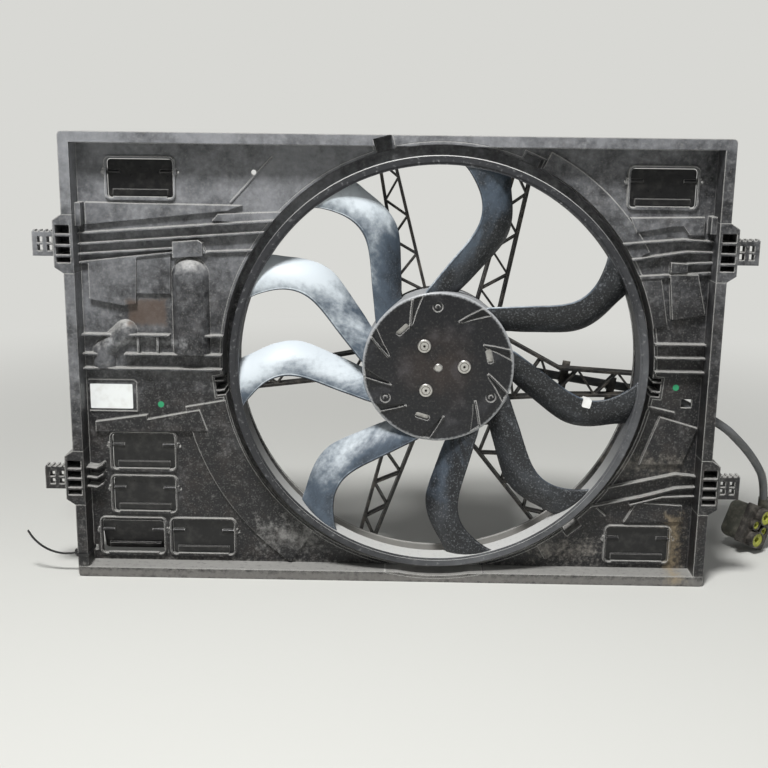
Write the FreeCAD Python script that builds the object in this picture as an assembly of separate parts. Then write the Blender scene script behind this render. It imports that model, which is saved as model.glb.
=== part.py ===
"""Radiator fan shroud with ram-air flaps and a brushless electric fan.

Frame: X to the right seen from the radiator side, Y from the radiator side to the engine side, Z up.
The shroud stands on its bottom edge.  All depths below are measured from the front flange face and
the origin is put at the middle of the bottom edge when the pieces are written.
"""
import FreeCAD, Part
import math
import os

V = FreeCAD.Vector

# ---------------------------------------------------------------- driving dimensions, millimetres
BODY_W = 655.0            # over the front flange, left to right
BODY_H = 458.0            # over the front flange, bottom to top
CORNER_R = 4.0
WALL = 2.5                # moulded wall
FLANGE_W = 10.7           # flat front flange
RIM_DEPTH = 26.0          # front flange face to the back of the panel
RIB_T = 2.2
RIB_H = 8.0               # stiffening ribs above the panel

FAN_SHIFT = 46.0 / 655.0  # fan axis right of the middle, as a share of the width
FAN_DROP = 0.5            # fan axis below the middle
TUNNEL_EDGE = 8.0         # bore of the fan tunnel to the top and bottom edges
TUNNEL_WALL = 3.0
TUNNEL_DEPTH = 52.0       # front face to the tunnel's rear lip
LIP_COVER = 4.0           # rear lip's opening over the inside of the fan's band
LIP_T = 3.0
FOOT_DEPTH = 69.0         # standing webs under the tunnel reach back this far
FOOT_SPREAD = 45.0

TIP_GAP = 10.0            # tunnel's bore to the flange of the fan's outer band
BAND_FLANGE_W = 9.0
BAND_WALL = 3.0
BAND_FLANGE_T = 2.6
BAND_STEP = (2.4, 0.8)    # bead round the inside of the band's flange, width and set-back
BAND_DEPTH = 24.0
HUB_R = 77.0
HUB_FRONT = 8.0
HUB_REAR = 44.0
HUB_WALL = 3.0
HUB_EDGE_R = 2.4
SWIRL_H = 1.6             # curved ribs on the hub and the pockets beside them
SWIRL_T = 2.0
SWIRL_POCKET = 1.9

BLADE_ANGLES = (121.8, 153.7, 185.8, 233.3, 280.8, 315.5, 350.4, 29.1, 77.5)   # uneven, to break up tone
BLADE_T = 3.4
BLADE_CAMBER = 0.13       # rise of the arc over its chord
# place between hub and band, sweep ahead of the tip in degrees, width seen from the front,
# depth along the axis, middle behind the front face
BLADE_STATIONS = (
    (-0.088, 11.5, 37.0, 29.0, 25.0),
    (0.064, 4.0, 35.0, 27.0, 24.0),
    (0.224, -2.2, 33.5, 25.0, 22.5),
    (0.408, -6.7, 32.0, 23.0, 20.5),
    (0.600, -8.2, 31.0, 20.5, 17.5),
    (0.792, -5.6, 33.0, 18.5, 15.0),
    (0.920, -2.4, 39.0, 17.0, 13.5),
    (1.048, 3.0, 52.0, 16.0, 12.8),
)

SHAFT_R = 4.0
SHAFT_CLEARANCE = 0.03    # running fit in the bearings
SEAT_GAP = 0.05           # round seats inside one body
FAN_SCREW_PCR = 26.4
FAN_SCREW_ANGLES = (3.0, 123.0, 243.0)
FAN_SCREW_R = 3.0
FAN_SCREW_HEAD_R = 6.8
CAN_R = 66.0
CAN_T = 2.5
CAN_GAP = 1.0             # hub wall to the rotor can, bridged by the screw bosses
CAN_REAR = 43.0
MAGNET_T = 4.8
AIR_GAP = 1.2
STATOR_TEETH = 12
STATOR_H = 20.0
BEARING_R = 11.0
BEARING_W = 7.0
BEARING_TUBE_R = 15.5
BASE_FRONT = 46.5
BASE_T = 4.0
BASE_R = 65.5
BASE_WALL = 4.5
BASE_FLANGE_T = 4.0
CARRIER_WALL = 8.0        # centre ring that holds the motor
CARRIER_CLEARANCE = 0.5   # motor base inside the centre ring
STRUT_DEPTH = 14.0
STRUT_RAIL_T = 3.2
STRUT_WEB_T = 2.2
STRUT_PANELS = 7
COVER_T = 4.0
FIN_H = 16.0
FIN_T = 2.2
FIN_PITCH = 10.0
FIN_MARGIN = 8.5          # fins' ends inside the cover's edge
BOARD_GAP = 7.0           # control board inside the base
LEAD_OUTLET = 17.5        # length of the cover's outlet for the lead

FLAP_W = 66.0             # flap windows
FLAP_H = 38.5
FLAP_GAP = 0.6
FLAP_T = 1.8
FLAP_SET_BACK = 0.3       # plate behind the pins' axis
FLAP_KNUCKLE = (1.9, 12.2)  # round knuckle beside each pin, radius and length
FLAP_BEAD = (6.0, 2.6)    # bead along the lower edge, height and how far it stands out
FLAP_STOP_GAP = 0.5       # plate to the ledge that stops it
FRAME_W = 2.2             # raised lip round a window
FRAME_H = 2.6
FLAP_PIN_DROP = 12.8      # pivot below the window's top edge
FLAP_PIN_R = 1.5
FLAP_PIN_CLEARANCE = 0.05
FLAP_CORNER_R = 4.0
EAR_W = 3.5
EAR_HALF = 3.2
FLAP_STORED_OPEN = 20.0   # the lower left flap is stored ajar, degrees

CLIP_UPPER_DROP = 109.0   # upper clips below the top edge
CLIP_LOWER_Z = 108.0
CLIP_BUMP = 9.0           # bulge of the rim beside each clip
CLIP_FLAT = 23.0          # half length of the bulge's flat
CLIP_SLOPE = 6.0
DUCT_R = (19.5, 12.0)     # dome and elbow bulges of the panel
APRON_H = 3.0             # raised apron beside the tunnel
TAB_REACH = 30.0          # clip tab beyond the body's side
TAB_H = 24.0
TAB_DEPTH = 9.0

LABEL = (44.0, 26.0, 0.3)
TIE_Z = 24.0
TIE_T = 1.2
TIE_W = 2.6

CABLE_R = 4.5
CABLE_CLIP_T = 1.5
CABLE_CLIP_W = 8.0
CLIP_BORE_GAP = 0.05
GROMMET_T = 1.8
GROMMET_REACH = 8.0
LEAD_ANGLE = -9.0         # the lead leaves the motor along the widest strut
LEAD_BENDS = (0.1415, 0.3473)     # shares from the motor to the tunnel, down on the strut
LEAD_OVER_EDGE = 0.170    # share of the room beside the tunnel, where it turns down to the panel
LEAD_LAST_RUN = 0.5372    # share of that room, straight run through the edge clip
LEAD_CLIP_SHARES = (0.435, 0.789)   # along the strut, from the centre ring to the tunnel
LEAD_CLIP_EDGE = 8.5      # edge clip's middle from the end of the held lead
EDGE_CLIP_DROP = 51.9     # edge clip below the fan axis
# free route, as steps from the edge clip down to the plug's boot
FREE_STEPS = ((20.5, 0.8, -11.2), (38.0, 12.0, -26.8), (59.5, 37.0, -47.8), (79.0, 63.5, -69.8),
              (95.6, 82.6, -93.0), (99.5, 89.2, -118.1))

PLUG_STEP = (89.0, 70.8)  # plug's face from the edge clip, right and back
PLUG_Z = 29.4             # middle of the face above the surface that the plug lies on
PLUG_YAW = 30.0
PLUG_ROLL = 25.0
PLUG_W = 44.0
PLUG_H = 46.0
PLUG_PLATE_T = 6.0
PLUG_CAP_T = 28.0
PLUG_PORT_R = 9.5
PLUG_PIN_PORT_R = 6.0
PLUG_PORT_L = 8.0
PLUG_OUTLET_R = 6.6
PLUG_OUTLET_SIDE = 14.5
PLUG_OUTLET_BACK = 13.0

# ---------------------------------------------------------------- values worked out from the above
HALF_W = BODY_W / 2
FAN_Z = BODY_H / 2 - FAN_DROP
TUNNEL_R = BODY_H / 2 - TUNNEL_EDGE
FAN_X = BODY_W * FAN_SHIFT
SIDE_ROOM = HALF_W - FAN_X - TUNNEL_R
SPREAD_X = BODY_W / 655.0      # the panel's features are placed for a body 655 by 458
SPREAD_Z = BODY_H / 458.0      # and spread with it
BAND_FLANGE_R = TUNNEL_R - TIP_GAP
BAND_R = BAND_FLANGE_R - BAND_FLANGE_W
LIP_R = BAND_R + LIP_COVER
CLIP_UPPER_Z = BODY_H - CLIP_UPPER_DROP
EDGE_CLIP_Z = FAN_Z - EDGE_CLIP_DROP
FLOOR_Y = RIM_DEPTH - WALL
INNER_X = HALF_W - FLANGE_W
INNER_TOP = BODY_H - FLANGE_W
ORIGIN_Y = RIM_DEPTH / 2
LIP_REAR = TUNNEL_DEPTH + LIP_T
STRUT_REAR = LIP_REAR + STRUT_DEPTH
CARRIER_R = BASE_R + CARRIER_CLEARANCE + CARRIER_WALL
FIN_R = BASE_R - FIN_MARGIN
BOARD_R = BASE_R - BASE_WALL - BOARD_GAP
TUNNEL_OUT = TUNNEL_R + TUNNEL_WALL
CAN_FRONT = HUB_FRONT + HUB_WALL + CAN_GAP
MAGNET_OUT = CAN_R - CAN_T
MAGNET_IN = MAGNET_OUT - MAGNET_T
STATOR_R = MAGNET_IN - AIR_GAP
STATOR_FRONT = CAN_FRONT + CAN_T + 5.0
BASE_REAR = STRUT_REAR + BASE_FLANGE_T
COVER_REAR = BASE_REAR + COVER_T + FIN_H
LEAD_START_Y = BASE_REAR + CABLE_R + GROMMET_T + 0.2
LEAD_Y = STRUT_REAR + CABLE_CLIP_T + CABLE_R
CABLE_EXIT = (HALF_W - 2.0, RIM_DEPTH + CABLE_R + CABLE_CLIP_T + 1.2, EDGE_CLIP_Z)
FREE_ROUTE = [CABLE_EXIT] + [tuple(c + d for c, d in zip(CABLE_EXIT, step)) for step in FREE_STEPS]
PIN_Y = FLOOR_Y + WALL / 2 + 0.15
FLAP_Y = PIN_Y + FLAP_SET_BACK
CLIP_HALF = CLIP_FLAT + CLIP_SLOPE
BIG = 2000.0


# ---------------------------------------------------------------- small makers
def box(x0, x1, y0, y1, z0, z1):
    return Part.makeBox(x1 - x0, y1 - y0, z1 - z0, V(x0, y0, z0))


def cyl_y(radius, y0, y1, x=FAN_X, z=FAN_Z):
    return Part.makeCylinder(radius, y1 - y0, V(x, y0, z), V(0, 1, 0))


def ring_y(outer, inner, y0, y1, x=FAN_X, z=FAN_Z):
    return cyl_y(outer, y0, y1, x, z).cut(cyl_y(inner, y0 - 1, y1 + 1, x, z))


def prism(points, y0, y1):
    """Polygon in X and Z, drawn through the depth."""
    wire = Part.makePolygon([V(x, y0, z) for x, z in points] + [V(points[0][0], y0, points[0][1])])
    return Part.Face(wire).extrude(V(0, y1 - y0, 0))


def rounded_rect(x, z, width, height, radius, y0, y1):
    """Rounded rectangle centred on x and z, drawn through the depth."""
    a, b = width / 2, height / 2
    k = radius * (1 - math.sqrt(0.5))
    edges = []
    for sx, sz in ((1, 1), (-1, 1), (-1, -1), (1, -1)):
        start = V(x + sx * a, y0, z + sz * (b - radius))
        middle = V(x + sx * (a - k), y0, z + sz * (b - k))
        end = V(x + sx * (a - radius), y0, z + sz * b)
        edges.append((start, middle, end) if sx * sz > 0 else (end, middle, start))
    wire = []
    for i, (start, middle, end) in enumerate(edges):
        wire.append(Part.Arc(start, middle, end).toShape())
        wire.append(Part.LineSegment(end, edges[(i + 1) % 4][0]).toShape())
    return Part.Face(Part.Wire(wire)).extrude(V(0, y1 - y0, 0))


def polar(radius, degrees):
    a = math.radians(degrees)
    return FAN_X + radius * math.cos(a), FAN_Z + radius * math.sin(a)


def bar(p, q, width, y0, y1):
    """Straight web between two points in X and Z."""
    dx, dz = q[0] - p[0], q[1] - p[1]
    length = math.hypot(dx, dz)
    nx, nz = -dz / length * width / 2, dx / length * width / 2
    return prism([(p[0] + nx, p[1] + nz), (q[0] + nx, q[1] + nz),
                  (q[0] - nx, q[1] - nz), (p[0] - nx, p[1] - nz)], y0, y1)


def rib(points, height, width=RIB_T):
    """Rib standing on the panel along a line of points, its corners filled by round posts."""
    y0, y1 = FLOOR_Y - height, FLOOR_Y + WALL / 2
    parts = [bar(p, q, width, y0, y1) for p, q in zip(points, points[1:])]
    parts += [cyl_y(width / 2, y0, y1, x, z) for x, z in points[1:-1]]
    return fuse(parts)


def plate(points, height):
    """Flat raised area of the panel."""
    return prism(points, FLOOR_Y - height, FLOOR_Y + WALL / 2)


def fuse(shapes):
    return shapes[0].multiFuse(shapes[1:]) if len(shapes) > 1 else shapes[0]


def left(u):
    return -HALF_W + u * SPREAD_X


def right(u):
    return HALF_W - u * SPREAD_X


def up(w):
    return w * SPREAD_Z


def top(w):
    return BODY_H - up(w)


def on_left(base, *places):
    """Points given across from the left edge and up from a height."""
    return [(left(u), base + up(w)) for u, w in places]


def on_right(base, *places):
    return [(right(u), base + up(w)) for u, w in places]


def sector(outer, inner, a0, a1, y0, y1):
    """Part of a ring about the fan axis between two angles."""
    reach = outer / math.cos(math.radians((a1 - a0) / 2)) * 1.02
    wedge = prism([polar(0, 0), polar(reach, a0), polar(reach, (a0 + a1) / 2), polar(reach, a1)], y0, y1)
    return ring_y(outer, inner, y0, y1).common(wedge)


# ---------------------------------------------------------------- shroud panel
def rim_spans(z0, z1):
    """Lengths of a side wall between z0 and z1 that the clips leave."""
    return ((z0, CLIP_LOWER_Z - CLIP_HALF), (CLIP_LOWER_Z + CLIP_HALF, CLIP_UPPER_Z - CLIP_HALF),
            (CLIP_UPPER_Z + CLIP_HALF, z1))


def rim_bars(outer_x, inner_x, edge, y0, y1, ends):
    """Four-sided frame of straight bars; the side bars run between the heights in ends."""
    thick = outer_x - inner_x
    bars = [box(-outer_x, outer_x, y0, y1, edge, edge + thick),
            box(-outer_x, outer_x, y0, y1, BODY_H - edge - thick, BODY_H - edge)]
    for z0, z1 in rim_spans(*ends):
        bars.append(box(inner_x, outer_x, y0, y1, z0, z1))
        bars.append(box(-outer_x, -inner_x, y0, y1, z0, z1))
    return bars


def shroud_rim():
    """Flat flange with the outer skirt and the inner wall behind it, a channel open to the rear."""
    outline = rounded_rect(0, BODY_H / 2, BODY_W, BODY_H, CORNER_R, 0, RIM_DEPTH)
    bars = rim_bars(HALF_W, INNER_X, 0, 0, WALL, (FLANGE_W, INNER_TOP))
    bars += rim_bars(HALF_W, HALF_W - WALL, 0, WALL, RIM_DEPTH, (WALL, BODY_H - WALL))
    bars += rim_bars(INNER_X + WALL, INNER_X, FLANGE_W - WALL, WALL, RIM_DEPTH, (FLANGE_W, INNER_TOP))
    away = fuse([cyl_y(TUNNEL_OUT, -1, RIM_DEPTH + 1)] + strut_root_cuts() + strut_root_boxes())
    return Part.makeCompound([solid for b in bars for solid in b.common(outline).cut(away).Solids])


def tunnel():
    """Wall round the fan with the rear lip that the struts stand on."""
    inside_rim = box(-INNER_X, INNER_X, -1, FLOOR_Y, FLANGE_W, INNER_TOP)
    front = ring_y(TUNNEL_OUT, TUNNEL_R, 0, FLOOR_Y).cut(inside_rim)
    rear = ring_y(TUNNEL_OUT, TUNNEL_R, FLOOR_Y, TUNNEL_DEPTH)
    lip = ring_y(TUNNEL_OUT, LIP_R, TUNNEL_DEPTH, LIP_REAR)
    return fuse([front, rear, lip])


def tunnel_gussets():
    """Triangular webs between the tunnel and the back of the panel."""
    parts = []
    reach = 20.0
    for degrees in (12, 32, -22, -38, 144, 162, 180, 198, 216):
        a = math.radians(degrees)
        inner = V(math.cos(a), 0, math.sin(a))
        side = V(-math.sin(a), 0, math.cos(a)) * (RIB_T / 2)
        base = V(FAN_X, 0, FAN_Z) - side + inner * (TUNNEL_OUT - 1)
        points = [base + V(0, RIM_DEPTH, 0), base + inner * reach + V(0, RIM_DEPTH, 0),
                  base + inner * reach + V(0, RIM_DEPTH + 3, 0), base + V(0, LIP_REAR, 0)]
        parts.append(Part.Face(Part.makePolygon(points + points[:1])).extrude(side * 2))
    return parts


def standing_webs():
    """Two webs under the tunnel that end level with the bottom edge."""
    parts = []
    rise = FAN_Z - math.sqrt(TUNNEL_OUT ** 2 - FOOT_SPREAD ** 2)
    for side in (-1, 1):
        x = FAN_X + side * FOOT_SPREAD - RIB_T / 2
        points = [(RIM_DEPTH, 0), (FOOT_DEPTH, 0), (FOOT_DEPTH, rise),
                  (LIP_REAR, rise + TUNNEL_WALL), (RIM_DEPTH, rise + TUNNEL_WALL)]
        wire = Part.makePolygon([V(x, y, z) for y, z in points + points[:1]])
        parts.append(Part.Face(wire).extrude(V(RIB_T, 0, 0)))
    return parts


def flap_sites():
    """Name, middle of the window in X and Z, and how far open the flap is stored."""
    half_w, half_h = FLAP_W / 2, FLAP_H / 2
    low = FLANGE_W + 7.5 + half_h
    return (
        ("flap_upper_left", left(41.0) + half_w, top(26.0) - half_h, 0.0),
        ("flap_upper_right", right(30.0) - half_w, top(29.0) - half_h, 0.0),
        ("flap_left_upper", left(35.0) + half_w, up(111.8) + half_h, 0.0),
        ("flap_left_lower", left(34.5) + half_w, up(64.8) + half_h, 0.0),
        ("flap_bottom_outer", left(21.0) + half_w, low, FLAP_STORED_OPEN),
        ("flap_bottom_inner", left(29.5) + FLAP_W + half_w, low, 0.0),
        ("flap_lower_right", right(33.0) - half_w, low - 0.5, 0.0),
    )


def pin_z(z):
    return z + FLAP_H / 2 - FLAP_PIN_DROP


def window_frame(x, z):
    """Raised lip round a flap window, hinge ears at both ends and the stop for the lower edge."""
    outer = rounded_rect(x, z, FLAP_W + 2 * FRAME_W, FLAP_H + 2 * FRAME_W, FLAP_CORNER_R + FRAME_W,
                         FLOOR_Y - FRAME_H, FLOOR_Y + 1)
    parts = [outer]
    for side in (-1, 1):
        centre = x + side * (FLAP_W / 2 + EAR_W / 2 + 0.2)
        parts.append(box(centre - EAR_W / 2 - 0.4, centre + EAR_W / 2, PIN_Y - EAR_HALF, PIN_Y + EAR_HALF,
                         pin_z(z) - EAR_HALF, pin_z(z) + EAR_HALF))
    return parts


def window_cut(x, z):
    hole = rounded_rect(x, z, FLAP_W, FLAP_H, FLAP_CORNER_R, FLOOR_Y - 10, RIM_DEPTH + 10)
    stop = box(x - FLAP_W / 2 + 6, x + FLAP_W / 2 - 6, FLOOR_Y - FRAME_H, FLAP_Y - FLAP_STOP_GAP,
               z - FLAP_H / 2 - 1, z - FLAP_H / 2 + 1.6)
    reach = FLAP_W / 2 + EAR_W + 2
    bore = Part.makeCylinder(FLAP_PIN_R + FLAP_PIN_CLEARANCE, 2 * reach, V(x - reach, PIN_Y, pin_z(z)),
                             V(1, 0, 0))
    return fuse([hole.cut(stop), bore])


def clip_body(side, z):
    """Bulge in the rim and the ribbed tab that slides into the radiator's side bracket."""
    outline = [(INNER_X, z - CLIP_HALF), (HALF_W, z - CLIP_HALF), (HALF_W + CLIP_BUMP, z - CLIP_FLAT),
               (HALF_W + CLIP_BUMP, z + CLIP_FLAT), (HALF_W, z + CLIP_HALF), (INNER_X, z + CLIP_HALF)]
    bump = prism([(side * x, h) for x, h in outline], 0, RIM_DEPTH)
    tab_x = (HALF_W + CLIP_BUMP - 1, HALF_W + TAB_REACH)
    tab = box(min(side * x for x in tab_x), max(side * x for x in tab_x), 1, 1 + TAB_DEPTH,
              z - TAB_H / 2, z + TAB_H / 2)
    teeth = [box(side * x - 1.1, side * x + 1.1, 1, 1 + TAB_DEPTH, z + TAB_H / 2 - 0.5, z + TAB_H / 2 + 1.6)
             for x in (HALF_W + 11.5, HALF_W + 17, HALF_W + 22.5, HALF_W + 28)]
    return [bump, tab] + teeth


def clip_cut(side, z):
    """Deep pockets between the clip's ribs, and the windows through its tab."""
    cuts = []
    x0, x1 = HALF_W - FLANGE_W + WALL + 0.6, HALF_W + CLIP_BUMP - WALL
    for low, high in ((10.0, 18.5), (-0.5, 7.5), (-10.5, -3.0), (-18.5, -13.0)):
        cuts.append(box(min(side * x0, side * x1), max(side * x0, side * x1), -1, RIM_DEPTH - WALL,
                        z + low, z + high))
    for u in (HALF_W + CLIP_BUMP + 1.5, HALF_W + CLIP_BUMP + 11.0):
        for low, high in ((1.0, 7.0), (-7.0, -1.0)):
            cuts.append(box(min(side * u, side * (u + 5)), max(side * u, side * (u + 5)), -1,
                            2 + TAB_DEPTH, z + low, z + high))
    return cuts


def side_clips():
    places = [(side, z) for side in (-1, 1) for z in (CLIP_UPPER_Z, CLIP_LOWER_Z)]
    return Part.makeCompound([fuse(clip_body(*place)).cut(fuse(clip_cut(*place))).removeSplitter()
                              for place in places])


def clip_ribs_left():
    """Long ribs that carry the clip's load to the tunnel, and the short ones of the lower clip."""
    z = CLIP_UPPER_Z
    parts = [
        rib(on_left(z, (9, 8.7), (235, 26.0)), 6.5),
        rib(on_left(z, (9, -1.8), (225, 14.5)), 6.5),
        rib(on_left(z, (9, -11.8), (108, -4.5)), 6.5),
        rib(on_left(z, (138, -8.5), (200, -5.5)), 3.0),
        rib(on_left(z, (9, -20.5), (106, -9.0)), 5.0),
    ]
    for offset in (8.8, -1.8, -11.8):
        start = CLIP_LOWER_Z + up(offset)
        parts.append(rib(on_left(start, (9, 0), (21, -1.5), (27, 2.5)), 14.0, 1.8))
    return parts


def clip_ribs_right():
    z = CLIP_UPPER_Z
    low = CLIP_LOWER_Z
    return [
        rib(on_right(z, (9, 8.7), (40, 10.5), (115, 4.0)), 6.5),
        rib(on_right(z, (9, -1.8), (36, -1.5), (105, -12.5)), 6.5),
        rib(on_right(z, (9, -11.8), (35, -13.5)), 6.5),
        rib(on_right(low, (9, 6.0), (31, 8.0), (68, -0.5), (128, -14.5)), 6.0),
        rib(on_right(low, (9, -5.5), (31, -7.5), (66, -17.5), (140, -34.0)), 6.0),
        rib(on_right(low, (9, -15.5), (44, -17.0), (77, -26.0)), 6.0),
    ]


def stiffening_ribs():
    """Rows of short horizontal ribs beside the fan on both sides."""
    parts = []
    rows = ((255.5, ((9, 40), (53, 100), (117, 162))), (235.5, ((9, 33), (53, 162))), (220.5, ((9, 162),)))
    for z, spans in rows:
        for a, b in spans:
            parts.append(rib(on_left(0, (a, z), (b, z)), RIB_H))
    for u in (67.5, 87.5):
        parts.append(rib(on_left(0, (u, 235.5), (u, 255.5)), RIB_H - 1.5))
    for z in (253.5, 239.5, 225.0):
        parts.append(rib(on_right(0, (9, z), (66, z)), RIB_H))
    return parts


def raised_areas_left():
    """Plateaus of different height that step the panel clear of the pipes behind it."""
    z = CLIP_UPPER_Z
    return [
        plate(on_left(z, (18.5, 40), (175.5, 38.5), (160, 33), (110, 27.5), (78, 24), (18.5, 18)), 4.0),
        plate(on_left(z, (145, 23), (151, 30), (235, 33.5), (235, 26), (180, 21.5)), 3.0),
        box(-INNER_X - 1, left(16.5), FLOOR_Y - 13, FLOOR_Y + 1, z + up(17), z + up(40)),
        plate(on_left(z, (105.5, -14), (135.5, -12), (135.5, 1), (131, 4), (105.5, 2)), 7.5),
        plate(on_left(z, (131, -9), (139, -10), (134.5, 1)), 5.0),
        plate(on_left(z, (19.5, -19), (68.5, -13.5), (66.5, -61), (52.5, -63), (19.5, -57)), 5.0),
        plate(on_left(z, (67, -13.5), (102.5, -9.5), (101.5, -51), (61.5, -51)), 3.2),
        rib([(left(205.5), top(23)), (left(163.5), top(68))], 1.3, 1.6),
    ]


def raised_areas_lower_left():
    wedge = plate(on_left(0, (19.5, 163.5), (73.5, 171.5), (73.5, 166.5), (128, 177.5), (136, 155),
                          (76, 153.5), (19.5, 153)), 4.2)
    apron = sector(TUNNEL_R * 1.197, TUNNEL_R + 1, 190.5, 235.0, FLOOR_Y - APRON_H, FLOOR_Y + 1)
    apron = apron.cut(box(-BIG, BIG, -1, FLOOR_Y + 2, -BIG, FLANGE_W - 1))
    frame = [rib(on_left(0, (13.5, 207.5), (60, 207.5), (63.5, 204), (63.5, 174)), 1.3, 1.4),
             rib(on_left(0, (63.5, 174), (13.5, 174)), 0.9, 1.2)]
    return [wedge, apron] + frame


def raised_areas_right():
    z = CLIP_UPPER_Z
    return [
        sector(TUNNEL_R * 1.086, TUNNEL_R + 1, 29.5, 63.5, FLOOR_Y - APRON_H, FLOOR_Y + 1),
        plate(on_right(z, (94, 31.5), (20.5, 33), (20.5, 15), (34.5, 15), (41, 24), (51.5, 23.5),
                       (87, 17)), 4.0),
        box(right(16.5), INNER_X + 1, FLOOR_Y - 13, FLOOR_Y + 1, z + up(17), z + up(34)),
        plate(on_right(z, (85.5, -26.5), (11, -21), (11, -24), (85.5, -30)), 4.5),
        plate(on_right(z, (51.5, -23), (35, -22), (35, -13), (51.5, -12)), 6.5),
        plate(on_right(z, (51.5, -24), (23.5, -24), (13.5, -64), (46.5, -70)), 5.5),
        plate(on_right(z, (80.5, -27.5), (59.5, -27.5), (50.5, -75), (67.5, -81)), 3.2),
    ]


def raised_areas_lower_right():
    ledge = plate(on_right(0, (68, 189.5), (36.5, 182.5), (36.5, 178.5), (69.5, 185.5)), 3.0)
    slab = plate(on_right(0, (51.5, 177.5), (12, 166), (26, 127), (70, 126)), 3.5)
    lower = plate(on_right(0, (70, 84.5), (22, 82), (22, 64), (82, 62.5)), 3.2)
    apron = sector(TUNNEL_R * 1.0905, TUNNEL_R + 1, 299.5, 318.5, FLOOR_Y - APRON_H, FLOOR_Y + 1)
    return [ledge, slab, lower, apron]


def service_ducts():
    """Half-round bulges of the panel: an upright dome and the elbow beside it, hollow behind."""
    radius, small = DUCT_R
    y, foot, crown = FLOOR_Y + 5.0, up(237.0), CLIP_UPPER_Z - up(32.5)
    x = left(121.5)
    solid = [Part.makeCylinder(radius, crown - foot, V(x, y, foot)), Part.makeSphere(radius, V(x, y, crown))]
    hollow = [Part.makeCylinder(radius - WALL, crown - foot - 2, V(x, y, foot + 2)),
              Part.makeSphere(radius - WALL, V(x, y, crown))]
    a, b = V(left(54), FLOOR_Y + 3.0, up(259.0)), V(left(31), FLOOR_Y + 3.0, up(238.0))
    drop = V(b.x, b.y, b.z - up(17.0))
    for kind, r, end in ((solid, small, drop), (hollow, small - WALL, drop + V(0, 0, 2))):
        kind += [Part.makeSphere(r, a), Part.makeCylinder(r, (b - a).Length, a, b - a),
                 Part.makeSphere(r, b), Part.makeCylinder(r, b.z - end.z, end)]
    return (fuse(solid).common(box(-BIG, BIG, -BIG, RIM_DEPTH, -BIG, BIG)),
            fuse(hollow).common(box(-BIG, BIG, -BIG, RIM_DEPTH + 5, -BIG, BIG)))


STRUT_ROOTS = ((104.5, 14.0), (66.5, 8.0), (-5.3, 9.0), (-50.0, 9.0), (-173.4, 9.0))
ROOT_HALF = 9.5


def root_block(degrees, reach, half, y0, y1):
    """Block that stands across the tunnel's wall at a strut root."""
    a = math.radians(degrees)
    out = V(math.cos(a), 0, math.sin(a))
    side = V(-math.sin(a), 0, math.cos(a)) * half
    start = V(FAN_X, y0, FAN_Z) + out * (TUNNEL_R - 6)
    far = out * (reach + 6)
    points = [start - side, start - side + far, start + side + far, start + side]
    return Part.Face(Part.makePolygon(points + points[:1])).extrude(V(0, y1 - y0, 0))


def strut_root_boxes():
    """Box moulded on the outside of the tunnel behind each strut root."""
    parts = []
    for degrees, reach in STRUT_ROOTS:
        block = root_block(degrees, reach + WALL, ROOT_HALF + WALL, FLOOR_Y, TUNNEL_DEPTH)
        parts.append(block.common(box(-BIG, BIG, 0, BIG, 0, BODY_H)))
    return parts


def strut_root_cuts():
    """Pockets in the tunnel's edge where the mould cores for the strut roots come out."""
    return [root_block(degrees, reach, ROOT_HALF, -1, TUNNEL_DEPTH - 4) for degrees, reach in STRUT_ROOTS]


def strut_root_ribs():
    """Two thin ribs left standing in each pocket beside the fan."""
    parts = []
    for degrees in (-5.3, -173.4):
        for shift in (-1.3, 1.3):
            p, q = polar(TUNNEL_R + 0.5, degrees + shift), polar(TUNNEL_R + 11, degrees + shift)
            parts.append(bar(p, q, 1.8, FLOOR_Y, TUNNEL_DEPTH - 3))
    return parts


def fan_tunnel():
    """Tunnel with everything that stands on its outside."""
    body = tunnel().multiFuse(strut_root_boxes() + tunnel_gussets() + standing_webs())
    body = body.cut(fuse([cyl_y(TUNNEL_R, -1, TUNNEL_DEPTH)] + strut_root_cuts()))
    return body.fuse(fuse(strut_root_ribs())).removeSplitter()


def shroud_panel():
    """Recessed floor between the rim and the tunnel with its windows, ribs, plateaus and ducts."""
    frames = [part for _, x, z, _ in flap_sites() for part in window_frame(x, z)]
    duct, duct_hollow = service_ducts()
    added = [duct] + frames + clip_ribs_left() + clip_ribs_right() + stiffening_ribs()
    added += raised_areas_left() + raised_areas_lower_left()
    added += raised_areas_right() + raised_areas_lower_right()
    inside = box(-INNER_X, INNER_X, -BIG, BIG, FLANGE_W, INNER_TOP)
    body = box(-INNER_X, INNER_X, FLOOR_Y, RIM_DEPTH, FLANGE_W, INNER_TOP).multiFuse(added).common(inside)
    holes = [cyl_y(TUNNEL_R, -1, FLOOR_Y), cyl_y(TUNNEL_OUT, FLOOR_Y, RIM_DEPTH + 1), duct_hollow]
    holes += [window_cut(x, z) for _, x, z, _ in flap_sites()]
    holes += strut_root_cuts() + strut_root_boxes()
    holes += [cyl_y(2.6, FLOOR_Y - 5, RIM_DEPTH + 1, left(187), top(38)),
              box(right(30), right(19.5), FLOOR_Y - 5, RIM_DEPTH + 1, up(187), up(196)),
              box(-INNER_X - 1, -INNER_X + 4.5, FLOOR_Y - 5, RIM_DEPTH + 1, TIE_Z - 3, TIE_Z + 3)]
    return body.cut(fuse(holes)).removeSplitter()


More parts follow.
